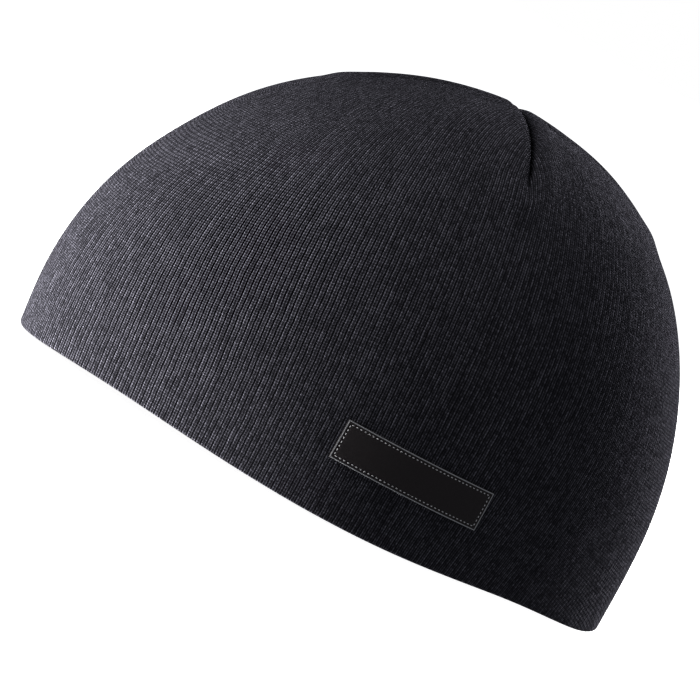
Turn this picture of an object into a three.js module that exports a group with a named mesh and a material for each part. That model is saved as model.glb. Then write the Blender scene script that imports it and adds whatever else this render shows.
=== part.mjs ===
// A close-fitting knitted beanie: one folded double layer of fine jersey, closed at the crown by
// four darts, with a small woven label sewn near the rim on the wearer's left.
// Millimetres. +Z up, the rim rests on z = 0, the forehead faces -Y, the wearer's left is +X.
import * as THREE from 'three';

// Driving dimensions of the shell.
const HEIGHT = 129.0;          // rim plane to the apex where the four darts meet
const WALL = 2.2;              // two layers of jersey lying on each other
const RIM_FLAT = 1.2;          // width of the folded edge that touches the table
const CORNER_PULL = 0.05;      // how much the rim's plan is drawn in between its four ends
const CORNER_FADE = 30.0;      // degrees of turn over which that drawing in dies out
const APEX_SHIFT = 1.4;        // the apex lies this far toward the back of the head

// Sections of the dome. turn: degrees up the meridian, height = HEIGHT * sin(turn).
// front, back, side: reach of the outer face from the centre line toward -Y, +Y and both X.
const SECTIONS = [
  { turn: 0, front: 102.1, back: 102.5, side: 84.0 },
  { turn: 8, front: 103.9, back: 102.1, side: 85.0 },
  { turn: 16, front: 103.0, back: 100.6, side: 84.2 },
  { turn: 26, front: 97.5, back: 95.7, side: 80.2 },
  { turn: 36, front: 87.6, back: 87.5, side: 73.3 },
  { turn: 46, front: 75.5, back: 76.8, side: 63.8 },
  { turn: 56, front: 60.4, back: 63.7, side: 52.0 },
  { turn: 66, front: 42.4, back: 47.6, side: 38.4 },
  { turn: 76, front: 23.1, back: 30.3, side: 23.2 },
  { turn: 84, front: 8.3, back: 13.7, side: 10.1 },
];

// Crown darts, one on each half axis, each sewn from the apex down.
const DART_LENGTH = 54.0;      // along the cloth from the apex to the dart's point
const DART_DEPTH = 1.7;        // how deep the seam line sinks into the cloth
const DART_WIDTH = 1.9;        // half width of that groove
const PUCKER_HEIGHT = 1.3;     // fullness of the cloth just past the dart's point
const PUCKER_RADIUS = 8.5;
const CHEEK_HEIGHT = 0.8;      // soft roll of cloth along both sides of the seam
const CHEEK_OFFSET = 5.0;
const CHEEK_WIDTH = 3.2;

// The label, measured along the cloth.
const LABEL_LENGTH = 50.2;
const LABEL_WIDTH = 12.4;
const LABEL_THICK = 0.7;
const LABEL_GAP = 0.3;
const LABEL_HEIGHT = 24.5;     // height of its middle line above the rim plane
const LABEL_SHIFT = 1.2;       // its centre lies this far toward the back of the head
const LABEL_CORNER = 0.8;      // corner radius of the woven patch

// Mesh density.
const QUARTER = [0, 1.3, 3.2, 6, 10, 15, 20, 25, 30, 35, 40, 45, 50, 55, 60, 65, 70, 75, 80, 84, 86.8, 88.7];
const OUTER_TURNS = [3, 6, 9.5, 13, 17, 21, 25, 29, 33, 37, 41, 45, 49, 53, 57, 60.5, 64, 67.5, 71, 74, 77, 80,
  83, 86, 88.3];
const INNER_TURNS = [4, 9, 14, 19, 24, 29, 34, 39, 44, 49, 54, 59, 64, 68.5, 73, 77, 81, 84.5, 87.5];

const RAD = Math.PI / 180;

// A smooth curve through points, with continuous bending (natural cubic spline).
function curveThrough(xs, ys) {
  const n = xs.length;
  const bend = new Array(n).fill(0);
  const work = new Array(n).fill(0);
  for (let i = 1; i < n - 1; i++) {
    const share = (xs[i] - xs[i - 1]) / (xs[i + 1] - xs[i - 1]);
    const pivot = share * bend[i - 1] + 2;
    const step = (ys[i + 1] - ys[i]) / (xs[i + 1] - xs[i]) - (ys[i] - ys[i - 1]) / (xs[i] - xs[i - 1]);
    bend[i] = (share - 1) / pivot;
    work[i] = (6 * step / (xs[i + 1] - xs[i - 1]) - share * work[i - 1]) / pivot;
  }
  for (let i = n - 2; i >= 0; i--) {
    bend[i] = bend[i] * bend[i + 1] + work[i];
  }
  return (x) => {
    let k = 0;
    while (k < n - 2 && x > xs[k + 1]) {
      k++;
    }
    const h = xs[k + 1] - xs[k];
    const a = (xs[k + 1] - x) / h;
    const b = (x - xs[k]) / h;
    return a * ys[k] + b * ys[k + 1]
      + ((a * a * a - a) * bend[k] + (b * b * b - b) * bend[k + 1]) * h * h / 6;
  };
}

// Reach of the dome against turn. The table runs on over the apex, mirrored, so the crown is round.
function reachOf(column) {
  const turns = SECTIONS.map((row) => row.turn);
  const reaches = SECTIONS.map((row) => row[column]);
  const over = turns.map((turn) => 180 - turn).reverse();
  const under = reaches.map((reach) => -reach).reverse();
  return curveThrough([...turns, 90, ...over], [...reaches, 0, ...under]);
}
const reachFront = reachOf('front');
const reachBack = reachOf('back');
const reachSide = reachOf('side');

// Outer face without darts at a turn (degrees) and an angle round the plan (degrees, 0 at +X, 90 at +Y).
function dome(turn, angle) {
  const c = Math.cos(angle * RAD);
  const s = Math.sin(angle * RAD);
  const pull = CORNER_PULL * Math.exp(-((turn / CORNER_FADE) ** 2));
  const ring = 1 - pull * (1 - Math.cos(4 * angle * RAD)) / 2;
  const along = s > 0 ? reachBack(turn) : reachFront(turn);
  const lift = Math.sin(turn * RAD);
  return new THREE.Vector3(reachSide(turn) * c * ring, along * s * ring + APEX_SHIFT * lift * lift, HEIGHT * lift);
}

// Outward direction of the dome, from four points close by.
function outward(turn, angle) {
  const t = Math.min(turn, 89.2);
  const up = dome(t + 0.4, angle).sub(dome(t - 0.4, angle));
  const round = dome(t, angle + 0.5).sub(dome(t, angle - 0.5));
  return round.cross(up).normalize();
}

// Distance along the cloth from the apex, and distance across from the nearest dart line.
function dartPlace(turn, angle) {
  const nearest = Math.round(angle / 90) * 90;
  const line = dome(turn, nearest);
  const across = dome(turn, angle).distanceTo(line);
  let down = 0;
  let last = dome(90, nearest);
  for (let t = 89; t > turn; t -= 2) {
    const next = dome(t, nearest);
    down += next.distanceTo(last);
    last = next;
  }
  down += line.distanceTo(last);
  return { down, across };
}

// How far the darts move the cloth out (+) or in (-): a groove on the seam line that fades out at the
// dart's point, a low roll on both sides of it and a small fullness just past the point.
function dartRelief(turn, angle) {
  const { down, across } = dartPlace(turn, angle);
  const fade = THREE.MathUtils.smoothstep(DART_LENGTH + 3 - down, 0, 12);
  const start = THREE.MathUtils.smoothstep(down, 0, 6);
  const groove = -DART_DEPTH * fade * (0.55 + 0.45 * start) * Math.exp(-((across / DART_WIDTH) ** 2));
  const roll = CHEEK_HEIGHT * fade * start * Math.exp(-(((across - CHEEK_OFFSET) / CHEEK_WIDTH) ** 2));
  const past = Math.hypot(down - DART_LENGTH - 3, across);
  const pucker = PUCKER_HEIGHT * Math.exp(-((past / PUCKER_RADIUS) ** 2));
  return groove + roll + pucker;
}

// A point of the cloth at a depth below the outer face.
function cloth(turn, angle, depth) {
  const point = dome(turn, angle);
  return point.addScaledVector(outward(turn, angle), dartRelief(turn, angle) - depth);
}

// Mesh of one closed body from rings of equal length, closed by a point at each open end.
function bodyFromRings(rings, firstPole, lastPole) {
  const count = rings[0].length;
  const points = rings.flat();
  const faces = [];
  for (let r = 0; r + 1 < rings.length; r++) {
    for (let c = 0; c < count; c++) {
      const a = r * count + c;
      const b = r * count + (c + 1) % count;
      faces.push(a, b, b + count, a, b + count, a + count);
    }
  }
  const first = points.length;
  points.push(firstPole, lastPole);
  const end = (rings.length - 1) * count;
  for (let c = 0; c < count; c++) {
    faces.push(first, (c + 1) % count, c);
    faces.push(first + 1, end + c, end + (c + 1) % count);
  }
  const geometry = new THREE.BufferGeometry();
  geometry.setAttribute('position', new THREE.BufferAttribute(new Float32Array(points.flatMap((p) => [...p])), 3));
  geometry.setIndex(faces);
  geometry.computeVertexNormals();
  return geometry;
}

// The shell: up the hollow's wall is the inner layer, down the outside the outer layer, and the fold
// between them at the rim, pressed flat where it stands on the table.
function shellGeometry() {
  const angles = [0, 90, 180, 270].flatMap((start) => QUARTER.map((angle) => start + angle));
  const rings = [];
  for (const turn of [...INNER_TURNS].reverse()) {
    rings.push(angles.map((angle) => cloth(turn, angle, WALL)));
  }
  const half = WALL / 2;
  const side = (half - RIM_FLAT / 2);
  const fold = [
    { depth: WALL, lift: 1.5 },
    { depth: half + RIM_FLAT / 2 + side * 0.72, lift: 0.3 },
    { depth: half + RIM_FLAT / 2, lift: 0 },
    { depth: half - RIM_FLAT / 2, lift: 0 },
    { depth: half - RIM_FLAT / 2 - side * 0.72, lift: 0.3 },
    { depth: 0, lift: 1.5 },
  ];
  for (const { depth, lift } of fold) {
    const turn = Math.asin(lift / HEIGHT) / RAD;
    rings.push(angles.map((angle) => {
      const point = dome(turn, angle);
      const out = outward(turn, angle);
      out.z = 0;
      point.addScaledVector(out.normalize(), -depth);
      point.z = lift;
      return point;
    }));
  }
  for (const turn of OUTER_TURNS) {
    rings.push(angles.map((angle) => cloth(turn, angle, 0)));
  }
  const apex = dome(90, 0);
  const sink = DART_DEPTH * 0.55;
  const inside = apex.clone().add(new THREE.Vector3(0, 0, -WALL - sink));
  const outside = apex.clone().add(new THREE.Vector3(0, 0, -sink));
  return bodyFromRings(rings, inside, outside);
}

// Turn at which the outer face reaches a height.
function turnAt(height) {
  return Math.asin(height / HEIGHT) / RAD;
}

// Angle round the plan at which the outer face lies at a distance along Y from the centre line.
function angleAt(turn, y) {
  let low = -60;
  let high = 60;
  for (let i = 0; i < 40; i++) {
    const middle = (low + high) / 2;
    if (dome(turn, middle).y < y) {
      low = middle;
    } else {
      high = middle;
    }
  }
  return (low + high) / 2;
}

// Point of the label: along runs level round the head, up runs up the cloth, both from its centre.
function labelPoint(along, up, depth) {
  const middle = turnAt(LABEL_HEIGHT);
  const slope = dome(middle + 0.5, 0).distanceTo(dome(middle - 0.5, 0));
  const turn = middle + up / slope;
  const centre = angleAt(middle, LABEL_SHIFT);
  const pace = dome(middle, centre + 0.5).distanceTo(dome(middle, centre - 0.5));
  let angle = centre + along / pace;
  for (let i = 0; i < 6; i++) {
    angle += (along - arcBetween(middle, centre, angle)) / pace;
  }
  return dome(turn, angle).addScaledVector(outward(turn, angle), depth);
}

// Length round the dome at one turn, from one plan angle to another.
function arcBetween(turn, from, to) {
  const steps = 24;
  let length = 0;
  for (let i = 0; i < steps; i++) {
    const a = dome(turn, from + (to - from) * i / steps);
    const b = dome(turn, from + (to - from) * (i + 1) / steps);
    length += a.distanceTo(b);
  }
  return to < from ? -length : length;
}

// The label: a thin strip that follows the curve of the head, with softly rounded corners.
function labelGeometry() {
  const columns = 24;
  const rows = 4;
  const grid = (depth, inset) => {
    const lines = [];
    for (let r = 0; r <= rows; r++) {
      const line = [];
      for (let c = 0; c <= columns; c++) {
        const p = c / columns * 2 - 1;
        const q = r / rows * 2 - 1;
        const corner = LABEL_CORNER * 0.3 * (Math.abs(p) === 1 && Math.abs(q) === 1 ? 1 : 0);
        const along = p * (LABEL_LENGTH / 2 - inset - corner);
        const up = q * (LABEL_WIDTH / 2 - inset - corner);
        line.push(labelPoint(along, up, depth));
      }
      lines.push(line);
    }
    return lines;
  };
  const back = grid(LABEL_GAP, 0);
  const front = grid(LABEL_GAP + LABEL_THICK, 0.15);
  const points = [...back.flat(), ...front.flat()];
  const width = columns + 1;
  const shift = (rows + 1) * width;
  const faces = [];
  const quad = (a, b, c, d) => faces.push(a, b, c, a, c, d);
  for (let r = 0; r < rows; r++) {
    for (let c = 0; c < columns; c++) {
      const a = r * width + c;
      quad(a, a + width, a + width + 1, a + 1);
      quad(shift + a, shift + a + 1, shift + a + width + 1, shift + a + width);
    }
  }
  const top = rows * width;
  for (let c = 0; c < columns; c++) {
    quad(c, c + 1, shift + c + 1, shift + c);
    quad(top + c + 1, top + c, shift + top + c, shift + top + c + 1);
  }
  for (let r = 0; r < rows; r++) {
    const left = r * width;
    const right = left + columns;
    quad(left + width, left, shift + left, shift + left + width);
    quad(right, right + width, shift + right + width, shift + right);
  }
  const geometry = new THREE.BufferGeometry();
  geometry.setAttribute('position', new THREE.BufferAttribute(new Float32Array(points.flatMap((p) => [...p])), 3));
  geometry.setIndex(faces);
  geometry.computeVertexNormals();
  return geometry;
}

const group = new THREE.Group();
group.name = 'beanie';

const jersey = new THREE.MeshStandardMaterial({ color: 0x2a2a2e, roughness: 0.95, metalness: 0 });
const shell = new THREE.Mesh(shellGeometry(), jersey);
shell.name = 'shell';
group.add(shell);

const satin = new THREE.MeshStandardMaterial({ color: 0x1a1718, roughness: 0.7, metalness: 0 });
const label = new THREE.Mesh(labelGeometry(), satin);
label.name = 'label';
group.add(label);

export default group;
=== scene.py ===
# %% [markdown]
# A knitted beanie
# The object is a close-fitting winter cap: a tube of fine black jersey folded back on itself at the
# rim, so that two layers lie on each other, and closed at the crown by four darts. A small woven label
# is sewn near the rim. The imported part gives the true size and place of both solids, and this lesson
# dresses them: the same dome is worked out again, much finer, so that the knit can follow the cloth.

# %% The frame
import math
import bpy
import numpy as np
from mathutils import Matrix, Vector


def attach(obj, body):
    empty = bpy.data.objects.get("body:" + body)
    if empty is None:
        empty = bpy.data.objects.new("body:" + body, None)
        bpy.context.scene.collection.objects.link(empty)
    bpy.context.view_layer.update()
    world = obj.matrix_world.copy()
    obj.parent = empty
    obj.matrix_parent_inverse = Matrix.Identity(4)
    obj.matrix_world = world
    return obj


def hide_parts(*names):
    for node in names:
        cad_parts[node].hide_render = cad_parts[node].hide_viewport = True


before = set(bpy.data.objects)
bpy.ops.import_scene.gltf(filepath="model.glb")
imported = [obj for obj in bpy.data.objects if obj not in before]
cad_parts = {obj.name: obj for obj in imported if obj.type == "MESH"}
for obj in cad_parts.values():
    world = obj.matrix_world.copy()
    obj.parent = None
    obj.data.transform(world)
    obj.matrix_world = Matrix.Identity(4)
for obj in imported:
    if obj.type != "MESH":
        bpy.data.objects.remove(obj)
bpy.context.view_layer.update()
MM = 0.001
print("solids:", sorted(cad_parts))

# %% [markdown]
# The form of the cap
# A worn beanie is a dome that is longer than it is wide. One could sculpt it or lathe it and stretch it.
# Here each level of the dome is one row of a short table, with its reach to the forehead, to the back
# of the head and to the sides, and a natural cubic spline joins the rows, because a spline keeps the
# bending continuous and black cloth shows every kink as a line of light.

# %% Sections of the dome
HEIGHT = 129.0
WALL = 2.2
RIM_FLAT = 1.2
CORNER_PULL = 0.05
CORNER_FADE = 30.0
APEX_SHIFT = 1.4
SECTIONS = {
    "turn": [0, 8, 16, 26, 36, 46, 56, 66, 76, 84],
    "front": [102.1, 103.9, 103.0, 97.5, 87.6, 75.5, 60.4, 42.4, 23.1, 8.3],
    "back": [102.5, 102.1, 100.6, 95.7, 87.5, 76.8, 63.7, 47.6, 30.3, 13.7],
    "side": [84.0, 85.0, 84.2, 80.2, 73.3, 63.8, 52.0, 38.4, 23.2, 10.1],
}
RIM_LIFT = {
    "angle": [-180, -150, -125, -92, -60, -30, 0, 30, 65, 95, 125, 150],
    "lift": [1.3, 1.5, 1.0, 0.0, 2.3, 1.7, 1.3, 2.8, 0.0, 1.2, 1.5, 1.5],
}
RIM_FADE = 9.0


def natural_spline(xs, ys):
    """Piecewise cubics through the points. The bending (second derivative) runs straight between the
    points, is zero at both ends, and is solved from equal slopes on both sides of each point."""
    xs, ys = np.asarray(xs, float), np.asarray(ys, float)
    step, rise = np.diff(xs), np.diff(ys)
    count = len(xs)
    system = np.eye(count)
    inner = np.arange(1, count - 1)
    system[inner, inner - 1] = step[:-1]
    system[inner, inner] = 2 * (step[:-1] + step[1:])
    system[inner, inner + 1] = step[1:]
    right = np.zeros(count)
    right[1:-1] = 6 * np.diff(rise / step)
    bend = np.linalg.solve(system, right)

    def value(x):
        """a and b are the shares of the two nearest points; the cubic terms add the bending."""
        x = np.asarray(x, float)
        k = np.clip(np.searchsorted(xs, x) - 1, 0, count - 2)
        a, b = (xs[k + 1] - x) / step[k], (x - xs[k]) / step[k]
        cubic = ((a**3 - a) * bend[k] + (b**3 - b) * bend[k + 1]) * step[k] ** 2 / 6
        return a * ys[k] + b * ys[k + 1] + cubic

    return value


def reach_of(column):
    """The column against turn, mirrored past the apex with its sign turned, so the crown is round."""
    turn, reach = np.array(SECTIONS["turn"], float), np.array(SECTIONS[column])
    return natural_spline(np.r_[turn, 90, 180 - turn[::-1]], np.r_[reach, 0, -reach[::-1]])


reach_front, reach_back, reach_side = reach_of("front"), reach_of("back"), reach_of("side")


def dome(turn, angle):
    """Outer face, in millimetres. Height is HEIGHT times the sine of turn. In plan it is an ellipse of
    the table's reaches at that turn, drawn in between its four ends near the rim."""
    turn, angle = np.broadcast_arrays(np.asarray(turn, float), np.asarray(angle, float))
    c, s = np.cos(np.radians(angle)), np.sin(np.radians(angle))
    pull = CORNER_PULL * np.exp(-((turn / CORNER_FADE) ** 2))
    ring = 1 - pull * (1 - np.cos(np.radians(4 * angle))) / 2
    along = np.where(s > 0, reach_back(turn), reach_front(turn))
    lift = np.sin(np.radians(turn))
    across = reach_side(turn) * c * ring
    lengthwise = along * s * ring + APEX_SHIFT * lift**2
    return np.stack([across, lengthwise, HEIGHT * lift], -1)


LAST_TURN = 89.2
TURN_STEP, ANGLE_STEP = 0.4, 0.5


def outward(turn, angle):
    """Unit normal: the step round the dome crossed with the step up it."""
    turn = np.minimum(turn, LAST_TURN)
    up = dome(turn + TURN_STEP, angle) - dome(turn - TURN_STEP, angle)
    around = dome(turn, angle + ANGLE_STEP) - dome(turn, angle - ANGLE_STEP)
    normal = np.cross(around, up)
    return normal / np.linalg.norm(normal, axis=-1, keepdims=True)


print("rim ends, mm:", dome(0, np.array([0.0, 90.0, 180.0, 270.0])).round(1).tolist())

# %% [markdown]
# The darts
# A flat knitted tube can only close over a head if wedges of it are taken out at the top. Each wedge is
# a dart, sewn shut on the inside, and outside it leaves a sharp line where two rolls of cloth meet, and
# a small fullness just past its point. All of that is a height added along the normal, from two
# distances: how far down the dart line, and how far across from it.

# %% Relief of the darts
DART_LENGTH = 54.0
DART_FADE, DART_START, START_SHARE = 12.0, 6.0, 0.55
GROOVE_DEPTH, GROOVE_WIDTH = 0.9, 2.0
CUSP_DEPTH, CUSP_WIDTH = 1.0, 0.6
ROLL_HEIGHT, ROLL_AWAY, ROLL_WIDTH = 0.8, 5.0, 3.2
FULLNESS, FULL_WIDTH, FULL_ASIDE, PAST_POINT = 1.4, 7.0, 2.0, 3.0
QUARTERS = np.array([0.0, 90.0, 180.0, 270.0])
walk = np.linspace(0.0, 90.0, 181)
dart_lines = dome(walk[:, None], QUARTERS[None, :])
steps = np.linalg.norm(np.diff(dart_lines, axis=0), axis=2)
to_apex = np.vstack([np.cumsum(steps[::-1], axis=0)[::-1], np.zeros(4)])


def smooth_step(x, low, high):
    """0 below low, 1 above high, and 3t squared minus 2t cubed between them."""
    t = np.clip((x - low) / (high - low), 0, 1)
    return t * t * (3 - 2 * t)


def dart_place(turn, angle):
    """Distance down the nearest dart line from the apex, and signed distance across from it."""
    nearest = np.round(angle / 90.0)
    number = nearest.astype(int) % 4
    down = np.choose(number, [np.interp(turn, walk, to_apex[:, k]) for k in range(4)])
    across = np.linalg.norm(dome(turn, angle) - dome(turn, nearest * 90.0), axis=-1)
    return down, across * np.sign(angle - nearest * 90.0)


def dart_relief(turn, angle):
    """A narrow cusp in a soft groove on the seam line, a low roll on both sides of it, and a rounded
    fullness past the dart's point, each one a height in millimetres."""
    down, across = dart_place(turn, angle)
    side = np.abs(across)
    fade = smooth_step(DART_LENGTH + PAST_POINT - down, 0, DART_FADE)
    start = smooth_step(down, 0, DART_START)
    depth = GROOVE_DEPTH * np.exp(-((side / GROOVE_WIDTH) ** 2)) + CUSP_DEPTH * np.exp(-side / CUSP_WIDTH)
    groove = -fade * (START_SHARE + (1 - START_SHARE) * start) * depth
    roll = ROLL_HEIGHT * fade * start * np.exp(-(((side - ROLL_AWAY) / ROLL_WIDTH) ** 2))
    past = np.hypot(down - DART_LENGTH - PAST_POINT, across + FULL_ASIDE)
    return groove + roll + FULLNESS * np.exp(-((past / FULL_WIDTH) ** 2))


print("way down each dart line, mm:", to_apex[0].round(0).tolist())

# %% [markdown]
# The cloth as one closed surface
# The real cap is one length of cloth: up the inside, round the fold at the rim and up the outside. So the
# mesh is one surface too, a grid whose rows run from the inner crown down to the rim and back up to the
# outer crown. The columns crowd toward the darts, where the relief is sharp.

# %% Rows and columns of the grid
PER_QUARTER = 92
CROWDING = 0.62
RIM_TURN, OUTER_TOP, INNER_TOP = 1.6, 89.3, 88.6
OUTER_ROWS, INNER_ROWS, FOLD_ROWS = 148, 66, 9
FOLD_LIFT = 0.9
share = np.arange(PER_QUARTER) / PER_QUARTER
crowded = 90.0 * (share - CROWDING * np.sin(2 * np.pi * share) / (2 * np.pi))
columns = (QUARTERS[:, None] + crowded[None, :]).ravel()


def even_turns(first, last, count):
    """Turns that step evenly along the cloth, between two turns, measured at the side of the dome."""
    turns = np.linspace(first, last, 400)
    line = dome(turns, 45.0)
    way = np.r_[0, np.cumsum(np.linalg.norm(np.diff(line, axis=0), axis=1))]
    return np.interp(np.linspace(0, way[-1], count), way, turns)


lift_angles = np.array(RIM_LIFT["angle"], float)
lift_of = natural_spline(np.r_[lift_angles[-3:] - 360, lift_angles, lift_angles[:3] + 360],
                         np.r_[RIM_LIFT["lift"][-3:], RIM_LIFT["lift"], RIM_LIFT["lift"][:3]])


def with_rim(turn, angle):
    """The turn with the rim's lift added. The lift fades out with the square of the turn over RIM_FADE."""
    lift = np.maximum(lift_of((angle + 180) % 360 - 180), 0)
    return turn + np.degrees(lift / HEIGHT) * np.exp(-((turn / RIM_FADE) ** 2))


outer_turns = even_turns(RIM_TURN, OUTER_TOP, OUTER_ROWS)
inner_turns = even_turns(RIM_TURN, INNER_TOP, INNER_ROWS)[::-1]
fold_angle = np.radians(np.linspace(180, 0, FOLD_ROWS))
half = WALL / 2
bow = half - RIM_FLAT / 2
fold_depth = half - np.cos(fold_angle) * bow - np.sign(np.cos(fold_angle)) * RIM_FLAT / 2
fold_depth[FOLD_ROWS // 2] = half
fold_lift = FOLD_LIFT * (1 - np.sin(fold_angle))


def cloth_rows(turns, depth):
    """Rows of points at a depth under the outer face, with the darts' relief."""
    turn, angle = np.meshgrid(turns, columns, indexing="ij")
    turn = with_rim(turn, angle)
    return dome(turn, angle) + outward(turn, angle) * (dart_relief(turn, angle) - depth)[..., None]


def fold_rows():
    """The fold at the rim: a half round from the inner to the outer layer, pressed flat at z = 0."""
    turn = np.degrees(np.arcsin(fold_lift / HEIGHT))
    turn, angle = np.meshgrid(turn, columns, indexing="ij")
    turn = with_rim(turn, angle)
    out = outward(turn, angle)
    out[..., 2] = 0
    out /= np.linalg.norm(out, axis=-1, keepdims=True)
    return dome(turn, angle) - out * fold_depth[:, None, None]


rows = np.concatenate([cloth_rows(inner_turns, WALL), fold_rows(), cloth_rows(outer_turns, 0.0)])
row_turn = np.r_[inner_turns, np.degrees(np.arcsin(fold_lift / HEIGHT)), outer_turns]
print("grid:", rows.shape[:2])

# %% [markdown]
# Wales and courses
# Jersey is a grid of stitches: wales run up the cap and courses run round it. For the pattern to follow
# the cloth, each corner of each face gets a place counted in stitches. The wales don't run to the apex
# like meridians. They rise beside the side seams, closer together there and wider at the forehead, and
# run along the middle of the forehead and of the back. Higher up the line over the top of the head cuts
# them off one by one. Courses cross them at right angles. The table counts the wales in a decimetre of
# cloth at four heights, beside the side seam, and by how much the count grows a decimetre further round.

# %% Wales and courses over each quarter
COURSE = 0.92
WALES = {
    "turn": [0, 30, 60, 90],
    "front": [68.0, 62.3, 70.7, 118.1],
    "front_growth": [-7.5, -5.3, 11.6, 61.3],
    "back": [73.0, 59.0, 78.6, 131.6],
    "back_growth": [-11.0, -3.2, -21.2, -65.0],
}
MM_PER_DM = 100.0
KEPT_TURNS, KEPT_WAY = (40.0, 80.0), (0.4, 1.3)
DART_TAKES, TAKEN_FROM = 20.0, 60.0
LEVEL_STEP = 0.5
closed_columns = np.r_[columns, 360.0]
dart_turn = float(np.interp(-DART_LENGTH, -to_apex[:, 0], walk))
levels = np.arange(0, 90, LEVEL_STEP)
level_grid = dome(levels[:, None], closed_columns[None, :])
round_way = np.linalg.norm(np.diff(level_grid, axis=1), axis=2).cumsum(1)
round_way = np.hstack([np.zeros((len(levels), 1)), round_way])
up_way = np.linalg.norm(np.diff(level_grid, axis=0), axis=2).cumsum(0)
up_way = np.vstack([np.zeros(len(closed_columns)), up_way])


def wales_of(column):
    """A column of the table at every level, on the cubic through its four heights."""
    return np.polyval(np.polyfit(WALES["turn"], WALES[column], 3), levels)[:, None]


def quarter_places(quarter):
    """Wale: with x the way round from the side seam in decimetres, it is x times the count plus x squared
    times the growth. Toward the middle line the count of the rim is kept, in a smooth step of the way
    round. Past the dart's point the side seam has taken some.
    Course: the way up the side seam, plus the sum of the wales' slant along the way round."""
    own = slice(quarter * PER_QUARTER, (quarter + 1) * PER_QUARTER + 1)
    way, up = round_way[:, own], up_way[:, own]
    if quarter % 2 == 1:
        way, up = way[:, -1:] - way[:, ::-1], up[:, ::-1]
    else:
        way = way - way[:, :1]
    end = "front" if quarter >= 2 else "back"
    x = way / MM_PER_DM
    wale = x * wales_of(end) + x**2 * wales_of(end + "_growth")
    kept = 1 - smooth_step(levels[:, None], *KEPT_TURNS)
    nearness = smooth_step(way / way[:, -1:], *KEPT_WAY)
    wale = wale + (wale[0, -1] - wale[:, -1:]) * kept * nearness / nearness[:, -1:]
    taken = DART_TAKES * (np.maximum(levels[:, None] - dart_turn, 0) / (90 - dart_turn)) ** 2
    wale = taken + wale * (1 - taken / TAKEN_FROM)
    per_way = np.diff(wale, axis=1) / np.diff(way, axis=1)
    per_up = np.gradient(wale, axis=0) / np.gradient(up, axis=0)
    per_up = (per_up[:, 1:] + per_up[:, :-1]) / 2
    slant = -per_up / np.hypot(per_way, per_up)
    gained = (slant * np.diff(way, axis=1)).cumsum(1)
    course = (up[:, :1] + np.hstack([np.zeros((len(levels), 1)), gained])) / COURSE
    places = np.stack([wale + 100.0 * quarter + 1000.0, course + 1000.0], -1)
    return places[:, ::-1] if quarter % 2 == 1 else places


quarters = np.stack([quarter_places(k) for k in range(4)])


def stitch_place(quarter, row, column):
    """The place in the pattern of a grid point seen from one quarter, drawn straight between two levels."""
    turn = np.minimum(with_rim(row_turn[row], closed_columns[column]), levels[-1] - 0.01) / LEVEL_STEP
    level = turn.astype(int)
    part = (turn - level)[..., None]
    inside = column - quarter * PER_QUARTER
    return quarters[quarter, level, inside] * (1 - part) + quarters[quarter, level + 1, inside] * part


print("darts end at turn", round(dart_turn, 1))
print("wales from the side to the forehead:", quarters[3, ::45, 0, 0] - 1300)

# %% [markdown]
# From points to a mesh
# A grid of points needs faces. Each one joins four neighbours, and a fan of triangles closes each end at
# the crown. One helper makes every piece of the cap from whole arrays of points and faces.

# %% Faces, poles and the mesh helper
APEX_SINK = 0.75
row_count, column_count = rows.shape[:2]
r, c = np.meshgrid(np.arange(row_count - 1), np.arange(column_count), indexing="ij")
nxt = (c + 1) % column_count
quads = np.stack([r * column_count + c, r * column_count + nxt, (r + 1) * column_count + nxt,
                  (r + 1) * column_count + c], -1).reshape(-1, 4)
quarter = c // PER_QUARTER
corner_places = np.stack([
    stitch_place(quarter, r, c),
    stitch_place(quarter, r, c + 1),
    stitch_place(quarter, r + 1, c + 1),
    stitch_place(quarter, r + 1, c),
], 2).reshape(-1, 2)
apex = dome(90.0, 0.0) - [0, 0, APEX_SINK]
poles = np.array([apex - [0, 0, WALL], apex])
base, last = row_count * column_count, (row_count - 1) * column_count
ring = np.arange(column_count)
ring_next = (ring + 1) % column_count
caps = np.concatenate([np.stack([np.full_like(ring, base), ring_next, ring], -1),
                       np.stack([np.full_like(ring, base + 1), last + ring, last + ring_next], -1)])


def cap_places(row, flip):
    """Stitch coordinates of the small triangles that close the crown."""
    which = ring // PER_QUARTER
    here = stitch_place(which, np.full_like(ring, row), ring)
    there = stitch_place(which, np.full_like(ring, row), ring + 1)
    middle = (here + there) / 2 + [0.0, 0.5]
    return np.stack([middle, there, here] if flip else [middle, here, there], 1).reshape(-1, 2)


def new_piece(name, points, faces, finish, places=None):
    """A mesh object from points in millimetres and a list of arrays of faces, with a place in the
    pattern for every corner of every face, in the same order."""
    mesh = bpy.data.meshes.new(name)
    all_faces = [face for group in faces for face in group.tolist()]
    mesh.from_pydata((np.asarray(points) * MM).tolist(), [], all_faces)
    if places is not None:
        layer = mesh.uv_layers.new(name="stitches")
        layer.data.foreach_set("uv", np.asarray(places, dtype=np.float32).ravel())
    mesh.shade_smooth()
    mesh.update()
    mesh.validate()
    piece = bpy.data.objects.new(name, mesh)
    bpy.context.scene.collection.objects.link(piece)
    mesh.materials.append(finish)
    triangles = sum(len(p.vertices) - 2 for p in mesh.polygons)
    print(name, "triangles:", triangles)
    return piece


# %% [markdown]
# Shader maths written as sums
# A knit pattern is arithmetic on the stitch coordinates. Wiring dozens of Math nodes by hand is slow to
# read, so one small class wraps a node's output and lets the usual signs add the nodes.

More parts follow.
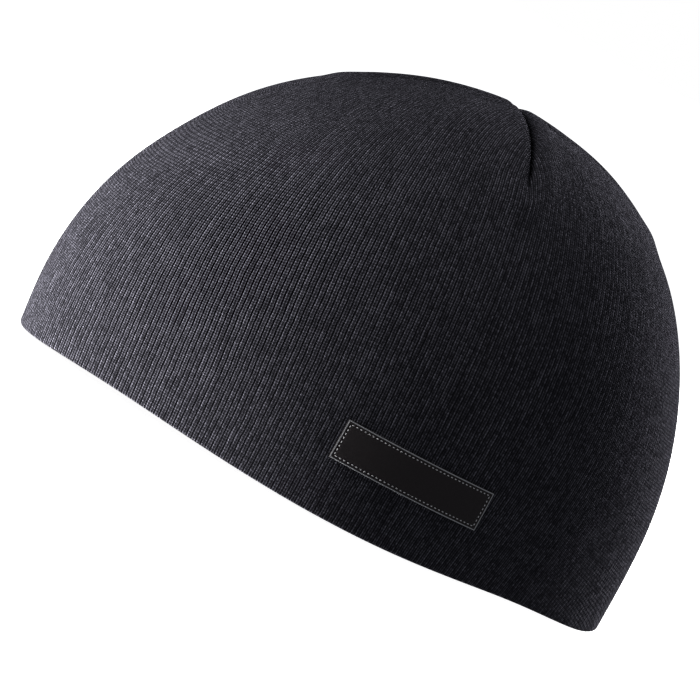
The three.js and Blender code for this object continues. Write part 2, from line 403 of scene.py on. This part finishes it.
# %% The finish helper
class Signal:
    """A value that changes over a surface. + - * ** and abs() on it add Math nodes."""

    def __init__(self, finish, socket):
        self.finish, self.socket = finish, socket

    def math(self, operation, *others):
        return self.finish.add("ShaderNodeMath", {"operation": operation}, dict(enumerate((self, *others))))

    def __add__(self, other):
        return self.math("ADD", other)

    def __radd__(self, other):
        return self.math("ADD", other)

    def __mul__(self, other):
        return self.math("MULTIPLY", other)

    def __rmul__(self, other):
        return self.math("MULTIPLY", other)

    def __sub__(self, other):
        return self.math("SUBTRACT", other)

    def __rsub__(self, other):
        return (self * -1.0).math("ADD", other)

    def __pow__(self, other):
        return self.math("POWER", other)

    def __abs__(self):
        return self.math("ABSOLUTE")

    def part(self):
        return self.math("FRACT")

    def whole(self):
        return self.math("FLOOR")

    def at_least(self, other):
        return self.math("MAXIMUM", other)

    def at_most(self, other):
        return self.math("MINIMUM", other)

    def band(self, low, high):
        """0 at low, 1 at high, smooth between and level outside."""
        return self.finish.add("ShaderNodeMapRange", {"interpolation_type": "SMOOTHSTEP"},
                               {0: self, 1: low, 2: high, 3: 0.0, 4: 1.0})


class Finish:
    """One material. add() makes any node from its type, its settings and its sockets."""

    def __init__(self, name):
        self.material = bpy.data.materials.new(name)
        self.material.use_nodes = True
        self.tree = self.material.node_tree
        self.tree.nodes.clear()
        self.end = self.tree.nodes.new("ShaderNodeOutputMaterial")

    def add(self, kind, settings=None, sockets=None, out=0):
        node = self.tree.nodes.new(kind)
        for key, value in (settings or {}).items():
            setattr(node, key, value)
        for key, value in (sockets or {}).items():
            if isinstance(value, Signal):
                self.tree.links.new(value.socket, node.inputs[key])
            else:
                node.inputs[key].default_value = value
        return Signal(self, node.outputs[out])

    def blend(self, share, first, second):
        """A colour between two colours."""
        return self.add("ShaderNodeMix", {"data_type": "RGBA"}, {0: share, 6: first, 7: second}, out=2)

    def tint(self, share, colour):
        """A colour times a share, so shades keep their hue."""
        return self.blend(share, (0, 0, 0, 1), colour)

    def close(self, **sockets):
        """The surface itself, with the named sockets of the Principled shader."""
        names = {key.replace("_", " "): value for key, value in sockets.items()}
        shader = self.add("ShaderNodeBsdfPrincipled", {}, names)
        self.tree.links.new(shader.socket, self.end.inputs["Surface"])
        return self.material


# %% [markdown]
# The jersey
# Each stitch of jersey is a V: two short legs of yarn that lean apart as they rise. From outside a wale
# is a column of these Vs, with a dark gap down its middle and a darker one between it and the next.
# Real yarn loops would be millions of faces, so the legs are a height and a shade worked out from the
# stitch coordinates: a round section across each leg, a round bead along it, and a lean. The shade is
# painted shade: the gaps between legs are painted dark for the shadow that falls in them, and one leg of
# each V is painted lighter, a painted highlight for light from one side. Beside the brow, where the key
# light grazes the cloth, the gaps get more painted shade, and an attribute of the mesh says how much.

# %% Knit pattern
LEG_LEAN = 0.45
LEG_INNER, LEG_OUTER = (0.08, 0.2), (0.3, 0.42)
BEAD_ENDS, LADDER_EDGE = (0.42, 0.97), (0.06, 0.18)
WALE_WOBBLE, COURSE_WOBBLE = 0.25, 0.8


def knit(finish, graze_shade):
    """Height and shade of jersey, and two random values: one for each stitch and one for each leg's run.
    A leg is a smooth rise and fall with the distance out from the wale's middle, and a bead is one minus
    the square of the way along it. Where the key light grazes the cloth the legs' shade is raised to a
    power, so the painted shade in the holes beside them widens."""
    place = finish.add("ShaderNodeUVMap", {"uv_map": "stitches"})
    wobble = finish.add("ShaderNodeTexNoise", {"noise_dimensions": "2D"},
                        {"Vector": place, "Scale": 0.11, "Detail": 2.0}, out=0)
    split = finish.add("ShaderNodeSeparateXYZ", {}, {0: place})
    wale = split + (wobble - 0.5) * WALE_WOBBLE
    course = Signal(finish, split.socket.node.outputs[1]) + (wobble - 0.5) * COURSE_WOBBLE
    side = wale.part() - 0.5
    out = abs(side)
    leg = out.band(*LEG_INNER) * (1.0 - out.band(*LEG_OUTER))
    along = course - out * LEG_LEAN
    bead_at = along.part() * 2.0 - 1.0
    bead = (1.0 - bead_at * bead_at).band(*BEAD_ENDS)
    column = (wale * 2.0).whole()
    one = finish.add("ShaderNodeCombineXYZ", {}, {0: column, 1: along.whole()})
    each = finish.add("ShaderNodeTexWhiteNoise", {"noise_dimensions": "2D"}, {"Vector": one}, out=0)
    run = finish.add("ShaderNodeCombineXYZ", {}, {0: column * 7.31, 1: course * 0.06})
    streak = finish.add("ShaderNodeTexNoise", {"noise_dimensions": "2D"}, {"Vector": run, "Scale": 1.0})
    ladder = 1.0 - out.band(*LADDER_EDGE)
    height = (leg * (bead * 0.45 + 0.55)).at_least(ladder * bead * 0.4)
    deep = graze_shade * 0.35 + 0.4
    graze_shaded_leg = leg ** (graze_shade * 2.8 + 0.5)
    # Painted shade and highlight: the gaps between legs and between wales are painted dark for the shadow in
    # them, and the factor on side paints one leg of each V lighter, as light from one side would.
    shade = (graze_shaded_leg * (side * 0.9 + 1.0) + ladder * 0.2) * (bead * deep + (1.0 - deep))
    return height, shade, each, streak


JERSEY_TINT = (0.605, 0.585, 0.70, 1)
BRIGHTEST = 8.0
KNIT_DEPTH = 0.0005


def jersey(name):
    """Black jersey: gaps painted dark for their shade, lighter crests, small differences from stitch to
    stitch and leg to leg. The shade is multiplied by each of these, a painted lift lightens it away from
    where the key light grazes, for the softer light there, and a painted crease shadow darkens it along the
    darts."""
    finish = Finish(name)
    # The attribute marks where the key light grazes the cloth; there the stitch gaps are painted darker.
    graze_shade = finish.add("ShaderNodeAttribute", {"attribute_name": "graze_shade"}, {}, out=2)
    height, shade, each, streak = knit(finish, graze_shade)
    spot = finish.add("ShaderNodeTexCoord", {}, {}, out=3)
    cloud = finish.add("ShaderNodeTexNoise", {}, {"Vector": spot, "Scale": 45.0, "Detail": 3.0})
    crease_shade = finish.add("ShaderNodeAttribute", {"attribute_name": "crease_shade"}, {}, out=2)
    # Painted light: away from where the key light grazes, the gaps are lifted toward the crests, for the
    # soft light that fills them there.
    soft_light_lift = 0.1 * (1.0 - graze_shade)
    chance = (each - 0.5) * (1.3 - graze_shade * 0.7) + 1.0
    share = shade * (graze_shade * 0.96 + 0.565) * chance * ((streak - 0.5) * 1.2 + 1.0)
    # Painted shadow: the base colour darkens along each dart crease.
    share = (share * (1.0 - soft_light_lift) + soft_light_lift) * (cloud * 0.12 + 0.94) * (1.0 - crease_shade * 0.9)
    colour = finish.tint(share.at_most(BRIGHTEST) * (1.0 / BRIGHTEST), JERSEY_TINT)
    fuzz = finish.add("ShaderNodeTexNoise", {}, {"Vector": spot, "Scale": 2600.0, "Detail": 2.0})
    relief = height + fuzz * 0.12 + each * 0.1
    bump = finish.add("ShaderNodeBump", {}, {"Height": relief, "Distance": KNIT_DEPTH, "Strength": 1.0})
    return finish.close(Base_Color=colour, Roughness=0.9, Specular_IOR_Level=0.0, Normal=bump)


JERSEY = jersey("black jersey")

# %% The shell
# Painted crease shadow: a dark line along each dart, wider near the apex where the cloth's lip overhangs the
# crease, fading out before the dart's point.
CREASE_SHADOW_SPREAD = {"fade": 14.0, "narrow": 0.7, "wider_by": 0.6, "wide_from": 40.0, "wide_over": 20.0}
GRAZE_AREA = {"angle": -50.0, "round": 35.0, "turn": 26.0, "up": 28.0}
shell = new_piece("jersey_shell", np.vstack([rows.reshape(-1, 3), poles]), [quads, caps], JERSEY,
                  np.vstack([corner_places, cap_places(0, True), cap_places(row_count - 1, False)]))
down, across = dart_place(*np.meshgrid(row_turn, columns, indexing="ij"))
widening = smooth_step(CREASE_SHADOW_SPREAD["wide_from"] - down, 0, CREASE_SHADOW_SPREAD["wide_over"])
crease_shadow_width = CREASE_SHADOW_SPREAD["narrow"] + CREASE_SHADOW_SPREAD["wider_by"] * widening
crease_shadow = smooth_step(DART_LENGTH - down, 0, CREASE_SHADOW_SPREAD["fade"]) * np.exp(-((across / crease_shadow_width) ** 2))
# Where the key light grazes the cloth: a smooth patch low on each side of the front, where the stitch gaps
# get more painted shade.
fold_back = np.degrees(np.arctan2(np.sin(np.radians(columns)), np.abs(np.cos(np.radians(columns)))))
off_round = (fold_back[None, :] - GRAZE_AREA["angle"]) / GRAZE_AREA["round"]
off_up = (row_turn[:, None] - GRAZE_AREA["turn"]) / GRAZE_AREA["up"]
graze_shade = np.exp(-(off_round**2) - off_up**2)
for_graze_shade = shell.data.attributes.new("graze_shade", "FLOAT", "POINT")
for_graze_shade.data.foreach_set("value", np.r_[graze_shade.ravel(), 0, 0].astype(np.float32))
crease_shade = shell.data.attributes.new("crease_shade", "FLOAT", "POINT")
crease_shade.data.foreach_set("value", np.r_[crease_shadow.ravel(), 1, 1].astype(np.float32))
print("stretch, least and most:", graze_shade.min().round(3), graze_shade.max().round(3))
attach(shell, "root")
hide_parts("shell")

# %% [markdown]
# The label
# A woven label is a ribbon of fine satin with its ends tucked under, sewn down near its edge. It follows
# the head, so its surface is the dome again, at a small distance, found by walking along the cloth from
# the label's centre.

# %% Surface of the label
LABEL_LENGTH, LABEL_WIDTH, LABEL_THICK, LABEL_GAP = 50.2, 12.4, 0.7, 0.3
LABEL_HEIGHT, LABEL_SHIFT = 24.5, 1.2
label_turn = math.degrees(math.asin(LABEL_HEIGHT / HEIGHT))
trial = np.linspace(-40, 40, 1601)
belt = dome(label_turn, trial)
belt_way = np.r_[0, np.cumsum(np.linalg.norm(np.diff(belt, axis=0), axis=1))]
belt_way -= np.interp(LABEL_SHIFT, belt[:, 1], belt_way)
slope = float(np.linalg.norm(dome(label_turn + 0.5, 0.0) - dome(label_turn - 0.5, 0.0)))


def on_label(along, up, depth):
    """A point at a distance along the head and up the cloth from the label's centre, and at a distance
    out from the cloth, in millimetres."""
    angle = np.interp(along, belt_way, trial)
    turn = label_turn + up / slope
    return dome(turn, angle) + outward(turn, angle) * np.asarray(depth)[..., None]


# %% The woven ground
LABEL_COLUMNS, LABEL_ROWS = 150, 44
LABEL_EDGE, LABEL_LIP, LABEL_BACK = 0.16, 0.12, 0.02
SEAM_INSET, SEAM_PRESS, SEAM_WIDTH = 1.15, 0.12, 0.35
TO_EDGES = np.pi / 2 * 0.98


def label_mesh():
    """A grid over the label, its lines drawn toward the edges by a sine. Toward the edge the height falls
    in a quarter round, the seam presses a shallow trough, and the back is flat."""
    long_way, short_way = (np.linspace(-1, 1, count + 1) for count in (LABEL_COLUMNS, LABEL_ROWS))
    grids = np.meshgrid(long_way, short_way, indexing="ij")
    s, t = (np.sin(grid * TO_EDGES) / np.sin(TO_EDGES) for grid in grids)
    along, up = s * LABEL_LENGTH / 2, t * LABEL_WIDTH / 2
    edge = np.minimum(LABEL_LENGTH / 2 - abs(along), LABEL_WIDTH / 2 - abs(up))
    round_off = np.sqrt(np.clip(1 - (1 - np.clip(edge / LABEL_EDGE, 0, 1)) ** 2, 0, 1))
    pressed = SEAM_PRESS * np.exp(-(((edge - SEAM_INSET) / SEAM_WIDTH) ** 2))
    front = on_label(along, up, LABEL_GAP + LABEL_LIP + (LABEL_THICK - LABEL_LIP) * round_off - pressed)
    back = on_label(along, up, np.full_like(along, LABEL_GAP + LABEL_BACK))
    return along, up, front, back


along, up, front, back = label_mesh()
n1, m1 = along.shape
count = n1 * m1
i, j = np.meshgrid(np.arange(n1 - 1), np.arange(m1 - 1), indexing="ij")
top = np.stack([i * m1 + j, (i + 1) * m1 + j, (i + 1) * m1 + j + 1, i * m1 + j + 1], -1).reshape(-1, 4)
border = np.r_[
    np.arange(n1) * m1,
    (n1 - 1) * m1 + np.arange(1, m1),
    (np.arange(n1 - 1)[::-1]) * m1 + m1 - 1,
    np.arange(1, m1 - 1)[::-1],
]
border_next = np.roll(border, -1)
sides = np.stack([border + count, border_next + count, border_next, border], -1)
label_faces = [top, top[:, ::-1] + count, sides]
flat_places = np.stack([along, up], -1).reshape(-1, 2)
label_places = np.vstack([np.vstack([flat_places, flat_places])[group.ravel()] for group in label_faces])


SATIN_GROUND, SATIN_PALE = (0.019, 0.0155, 0.0162, 1), (0.3, 0.3, 0.31, 1)
LINE_INNER, LINE_OUTER = (0.1, 0.18), (0.36, 0.44)
WEFTS_PER_MM, PICKS_PER_MM = 6.4, 5.0


def woven_label():
    """Near-black satin with a fine rib, and a pale line woven close to its edge. Each weft and each float
    is a bead, one minus the square of the way across it."""
    finish = Finish("label satin")
    place = finish.add("ShaderNodeUVMap", {"uv_map": "stitches"})
    split = finish.add("ShaderNodeSeparateXYZ", {}, {0: place})
    x, y = split, Signal(finish, split.socket.node.outputs[1])
    edge = (LABEL_LENGTH / 2 - abs(x)).at_most(LABEL_WIDTH / 2 - abs(y))
    line = edge.band(*LINE_INNER) * (1.0 - edge.band(*LINE_OUTER))
    thread = (y * WEFTS_PER_MM).part() * 2.0 - 1.0
    weft = 1.0 - thread * thread
    pick = ((x * PICKS_PER_MM) + (y * WEFTS_PER_MM).whole() * 0.4).part() * 2.0 - 1.0
    float_over = 1.0 - pick * pick
    spot = finish.add("ShaderNodeTexNoise", {"noise_dimensions": "2D"},
                      {"Vector": place, "Scale": 1.4, "Detail": 3.0})
    tone = (weft * 0.5 + 0.5) * (float_over * 0.3 + 0.7) * (spot * 0.4 + 0.8)
    ground = finish.tint(tone, SATIN_GROUND)
    pale = finish.tint(tone, SATIN_PALE)
    colour = finish.blend(line, ground, pale)
    weave = weft * 0.6 + float_over * 0.4
    bump = finish.add("ShaderNodeBump", {}, {"Height": weave, "Distance": 0.00006, "Strength": 0.7})
    return finish.close(Base_Color=colour, Roughness=0.6, Specular_IOR_Level=0.08, Normal=bump)


label = new_piece("woven_label", np.vstack([front.reshape(-1, 3), back.reshape(-1, 3)]), label_faces,
                  woven_label(), label_places)
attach(label, "root")
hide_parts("label")

# %% [markdown]
# Stitches round the label
# The label is sewn down with a pale thread, one row of lockstitch inside its edge. Each visible stitch is
# a short, round length of thread that sinks at both ends, repeated round a rectangle.

# %% Sewing thread
STITCH_PITCH, STITCH_LENGTH, THREAD = 1.33, 0.72, 0.28
STITCH_RINGS, STITCH_SIDES = 12, 8
STITCH_SINK, END_DIP, THREAD_FLAT = 0.06, 0.16, 0.8


def seam_line(inset, pitch):
    """Centres and directions of stitches along a rectangle inset from the label's edge."""
    a, b = LABEL_LENGTH / 2 - inset, LABEL_WIDTH / 2 - inset
    long_run, short_run = round(2 * a / pitch), round(2 * b / pitch)
    xs = (np.arange(long_run) + 0.5) / long_run * 2 * a - a
    ys = (np.arange(short_run) + 0.5) / short_run * 2 * b - b
    centres = np.vstack([np.stack([xs, np.full_like(xs, b)], -1), np.stack([xs, np.full_like(xs, -b)], -1),
                         np.stack([np.full_like(ys, a), ys], -1), np.stack([np.full_like(ys, -a), ys], -1)])
    level = np.r_[np.ones(2 * len(xs)), np.zeros(2 * len(ys))]
    return centres, np.stack([level, 1 - level], -1)


def thread_stitches(centres, directions):
    """Each stitch is a short tube of rings. Its radius is full in the middle and rounds off at the ends,
    with the root of one minus the fourth power of the way, and there its centre line dips into the cloth."""
    rings, sides = STITCH_RINGS, STITCH_SIDES
    s = np.sin(np.linspace(-1, 1, rings) * np.pi / 2)
    around = np.arange(sides) * 2 * np.pi / sides
    radius = THREAD / 2 * np.sqrt(np.clip(1 - s**4, 0.0004, 1))
    run = s * STITCH_LENGTH / 2
    lift = LABEL_THICK + LABEL_GAP - STITCH_SINK - END_DIP * s**4
    flat = centres[:, None, None, :] + directions[:, None, None, :] * run[None, :, None, None]
    square = np.stack([-directions[:, 1], directions[:, 0]], -1)
    flat = flat + square[:, None, None, :] * (radius[:, None] * np.cos(around)[None, :])[None, :, :, None]
    depth = lift[:, None] + radius[:, None] * np.sin(around)[None, :] * THREAD_FLAT
    points = on_label(flat[..., 0], flat[..., 1], np.broadcast_to(depth, flat.shape[:3]))
    k, g, h = np.meshgrid(np.arange(len(centres)), np.arange(rings - 1), np.arange(sides), indexing="ij")

    def at(ring, side):
        """Index of a point: its stitch, then its ring, then its side, which closes on itself."""
        return (k * rings + ring) * sides + side % sides

    walls = np.stack([at(g, h), at(g + 1, h), at(g + 1, h + 1), at(g, h + 1)], -1).reshape(-1, 4)
    k1 = np.arange(len(centres))[:, None]
    first = k1 * rings * sides + np.arange(sides)[None, :]
    final = (k1 * rings + rings - 1) * sides + np.arange(sides)[None, ::-1]
    return points.reshape(-1, 3), [walls, first, final]


def thread_finish():
    """Pale grey polyester thread with a fine twist."""
    finish = Finish("pale thread")
    spot = finish.add("ShaderNodeTexCoord", {}, {}, out=3)
    grain = finish.add("ShaderNodeTexNoise", {}, {"Vector": spot, "Scale": 3000.0, "Detail": 2.0})
    colour = finish.tint(grain * 0.5 + 0.72, (0.34, 0.33, 0.335, 1))
    bump = finish.add("ShaderNodeBump", {}, {"Height": grain, "Distance": 0.00005, "Strength": 0.6})
    return finish.close(Base_Color=colour, Roughness=0.5, Normal=bump, Sheen_Weight=0.1)


stitch_points, stitch_faces = thread_stitches(*seam_line(SEAM_INSET, STITCH_PITCH))
stitches = new_piece("label_stitches", stitch_points, stitch_faces, thread_finish())
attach(stitches, "root")

# %% [markdown]
# The shell is one double cloth: a tube as wide as the relaxed rim, less the darts. The label is a
# small ribbon.

# %% [markdown]
# The studio
# The photograph is a cut-out on white, with a broad light low at the left and behind, a weaker one behind
# at the right, and very little light from the front. The floor is a pale sheet that only the camera sees,
# so that it throws no light back onto the dark side and stops none of the lights that stand below it.

# %% Floor
floor_mesh = bpy.data.meshes.new("floor")
floor_mesh.from_pydata([(-6, -6, 0), (6, -6, 0), (6, 6, 0), (-6, 6, 0)], [], [(0, 1, 2, 3)])
floor = bpy.data.objects.new("floor", floor_mesh)
bpy.context.scene.collection.objects.link(floor)
paper = Finish("pale paper")
glow = paper.add("ShaderNodeEmission", {}, {"Color": (1, 1, 1, 1), "Strength": 0.96})
matte = paper.add("ShaderNodeBsdfDiffuse", {}, {"Color": (0.5, 0.5, 0.5, 1)})
both = paper.add("ShaderNodeAddShader", {}, {0: glow, 1: matte})
paper.tree.links.new(both.socket, paper.end.inputs["Surface"])
floor_mesh.materials.append(paper.material)
floor.visible_diffuse = floor.visible_glossy = floor.visible_shadow = floor.visible_transmission = False

# %% World
world = bpy.data.worlds.new("studio")
bpy.context.scene.world = world
world.use_nodes = True
tree = world.node_tree
tree.nodes.clear()
seen = tree.nodes.new("ShaderNodeLightPath")
plain, dim, pick = (tree.nodes.new("ShaderNodeBackground"), tree.nodes.new("ShaderNodeBackground"),
                    tree.nodes.new("ShaderNodeMixShader"))
plain.inputs[0].default_value = (1, 1, 1, 1)
dim.inputs[0].default_value = (0.9, 0.94, 1, 1)
dim.inputs[1].default_value = 0.4
tree.links.new(seen.outputs["Is Camera Ray"], pick.inputs[0])
tree.links.new(dim.outputs[0], pick.inputs[1])
tree.links.new(plain.outputs[0], pick.inputs[2])
tree.links.new(pick.outputs[0], tree.nodes.new("ShaderNodeOutputWorld").inputs[0])

# %% Lights
AIM = np.array([0.0, 0.0, 0.062])
LIGHT_DISTANCE, LIGHT_SIZE = 1.0, 0.5
LIGHTS = {
    "name": ["key", "low_key", "lowest_key", "left_behind", "back_right", "back_right_low",
             "front", "front_top"],
    "azimuth": [350, 330, 330, 290, 220, 220, 350, 0],
    "elevation": [-25, -45, -65, -5, 25, 0, 15, 40],
    "watts": [35, 50, 33, 9, 38, 26, 7, 8.5],
}


def soft_light(name, azimuth, elevation, watts):
    """A square light at a direction round the object, at one distance from it, turned to face it."""
    a, e = math.radians(azimuth), math.radians(elevation)
    back = np.array([math.sin(a) * math.cos(e), -math.cos(a) * math.cos(e), math.sin(e)])
    data = bpy.data.lights.new(name, "AREA")
    data.shape, data.size, data.size_y = "RECTANGLE", LIGHT_SIZE, LIGHT_SIZE
    data.energy = watts
    lamp = bpy.data.objects.new(name, data)
    bpy.context.scene.collection.objects.link(lamp)
    lamp.location = AIM + back * LIGHT_DISTANCE
    lamp.rotation_mode = "QUATERNION"
    lamp.rotation_quaternion = Vector(-back).to_track_quat("-Z", "Y")
    lamp.visible_camera = False
    return lamp


lamps = [soft_light(*row) for row in zip(*LIGHTS.values())]
print("lights:", len(lamps), "below the floor:", sum(lamp.location.z < 0 for lamp in lamps))

# %% [markdown]
# The camera
# In the photograph the cap leans, but a cap that rests by itself stands level. So the camera takes the
# lean: it looks from the photograph's direction, a little above the floor, and is rolled.

# %% Camera
DISTANCE, AZIMUTH, ELEVATION, ROLL = 1.5, 72.7, 5.09, 29.38
PICTURE, FOCAL = 700, 4916.0
SENSOR = 36.0
AXIS_POINT = np.array([0.0, 0.0, 0.06])
AXIS_PIXEL = np.array([406.8, 304.9])


def photo_camera():
    """The camera sees the cap's axis from the photograph's direction and is rolled so the cap leans as it
    does there. It looks a little beside the axis, so that a point on it lands where it is in the picture."""
    a, e, r = (math.radians(x) for x in (AZIMUTH, ELEVATION, ROLL))
    back = np.array([math.sin(a) * math.cos(e), -math.cos(a) * math.cos(e), math.sin(e)])
    level = np.array([math.cos(a), math.sin(a), 0.0])
    above = np.cross(back, level)
    right = math.cos(r) * level + math.sin(r) * above
    up_dir = math.cos(r) * above - math.sin(r) * level
    beside = (PICTURE / 2 - AXIS_PIXEL) * DISTANCE / FOCAL
    aim = AXIS_POINT + right * beside[0] - up_dir * beside[1]
    data = bpy.data.cameras.new("camera")
    data.sensor_width, data.lens = SENSOR, FOCAL / PICTURE * SENSOR
    data.clip_start, data.clip_end = 0.05, 30
    camera = bpy.data.objects.new("camera", data)
    bpy.context.scene.collection.objects.link(camera)
    camera.location = AXIS_POINT + back * DISTANCE
    view = (camera.location - Vector(aim)).normalized()
    side = Vector(up_dir).cross(view).normalized()
    turned = Matrix([side, view.cross(side), view]).transposed()
    camera.rotation_mode = "QUATERNION"
    camera.rotation_quaternion = turned.to_quaternion()
    return camera


bpy.context.scene.camera = photo_camera()
bpy.context.scene.view_settings.view_transform = "Standard"
